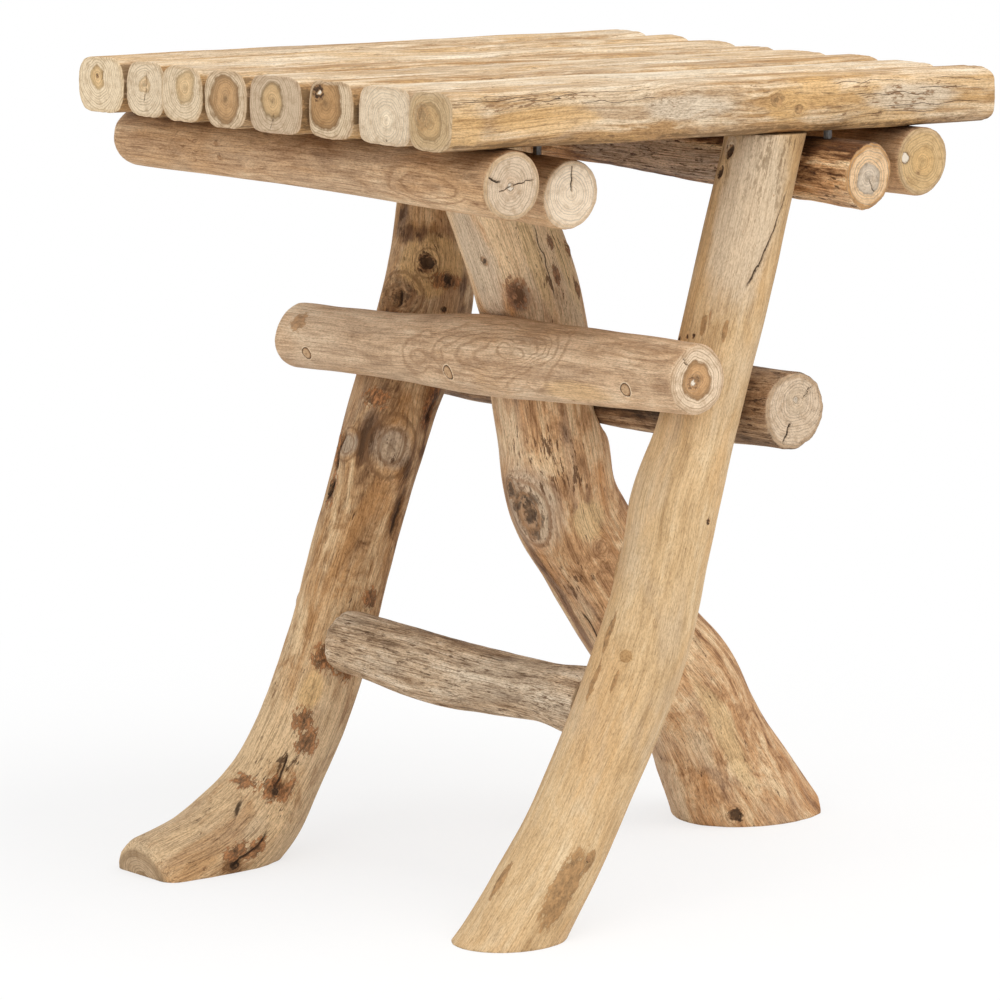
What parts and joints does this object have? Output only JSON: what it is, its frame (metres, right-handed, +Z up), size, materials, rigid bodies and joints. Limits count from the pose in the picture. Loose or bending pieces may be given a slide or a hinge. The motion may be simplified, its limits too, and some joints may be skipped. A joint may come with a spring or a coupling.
{
  "type": "log stool",
  "caption": "Rustic stool of peeled branches: slatted seat on round bearers, bent crossing legs clamped between cross rails, and a lower stretcher.",
  "frame": {"origin": "middle of the overall box at floor level, under the seat", "axes": "+Z up, +X along the seat slats, +Y towards the back of the stool, where the leg with the kicked foot stands"},
  "size_m": [0.4276, 0.3626, 0.453],
  "materials": {
    "seat_wood": "weathered, unvarnished",
    "bearer_wood": "peeled branch, unvarnished",
    "rail_wood": "peeled branch, unvarnished",
    "leg_back_wood": "rough peeled branch with bark left on",
    "leg_middle_wood": "rough peeled branch",
    "leg_front_wood": "smooth peeled branch",
    "stretcher_wood": "rough peeled branch",
    "plug_wood": "pared flush",
    "screw_steel": "plain steel"
  },
  "bodies": {
    "root": {"bearer_left_inner": "bearer_wood", "bearer_left_outer": "bearer_wood", "bearer_right_inner": "bearer_wood", "bearer_right_outer": "bearer_wood", "bearer_screw_back": "screw_steel", "bearer_screw_front": "screw_steel", "bearer_screw_middle": "screw_steel", "cross_rail_left": "rail_wood", "cross_rail_right": "rail_wood", "leg_back": "leg_back_wood", "leg_front": "leg_front_wood", "leg_middle": "leg_middle_wood", "lower_stretcher": "stretcher_wood", "rail_plug_left_back": "plug_wood", "rail_plug_left_front": "plug_wood", "rail_plug_left_middle": "plug_wood", "rail_plug_right_back": "plug_wood", "rail_plug_right_front": "plug_wood", "rail_plug_right_middle": "plug_wood", "rail_screw_left_back": "screw_steel", "rail_screw_left_front": "screw_steel", "rail_screw_left_middle": "screw_steel", "rail_screw_right_back": "screw_steel", "rail_screw_right_front": "screw_steel", "rail_screw_right_middle": "screw_steel", "seat_slat_1": "seat_wood", "seat_slat_2": "seat_wood", "seat_slat_3": "seat_wood", "seat_slat_4": "seat_wood", "seat_slat_5": "seat_wood", "seat_slat_6": "seat_wood", "seat_slat_7": "seat_wood", "seat_slat_8": "seat_wood", "slat_screw_left_inner_2": "screw_steel", "slat_screw_left_inner_7": "screw_steel", "slat_screw_left_outer_1": "screw_steel", "slat_screw_left_outer_2": "screw_steel", "slat_screw_left_outer_3": "screw_steel", "slat_screw_left_outer_4": "screw_steel", "slat_screw_left_outer_5": "screw_steel", "slat_screw_left_outer_6": "screw_steel", "slat_screw_left_outer_7": "screw_steel", "slat_screw_left_outer_8": "screw_steel", "slat_screw_right_inner_1": "screw_steel", "slat_screw_right_inner_8": "screw_steel", "slat_screw_right_outer_1": "screw_steel", "slat_screw_right_outer_2": "screw_steel", "slat_screw_right_outer_3": "screw_steel", "slat_screw_right_outer_4": "screw_steel", "slat_screw_right_outer_5": "screw_steel", "slat_screw_right_outer_6": "screw_steel", "slat_screw_right_outer_7": "screw_steel", "slat_screw_right_outer_8": "screw_steel", "stretcher_plug_back": "plug_wood", "stretcher_plug_front": "plug_wood", "stretcher_screw_back": "screw_steel", "stretcher_screw_front": "screw_steel"}
  },
  "joints": []
}
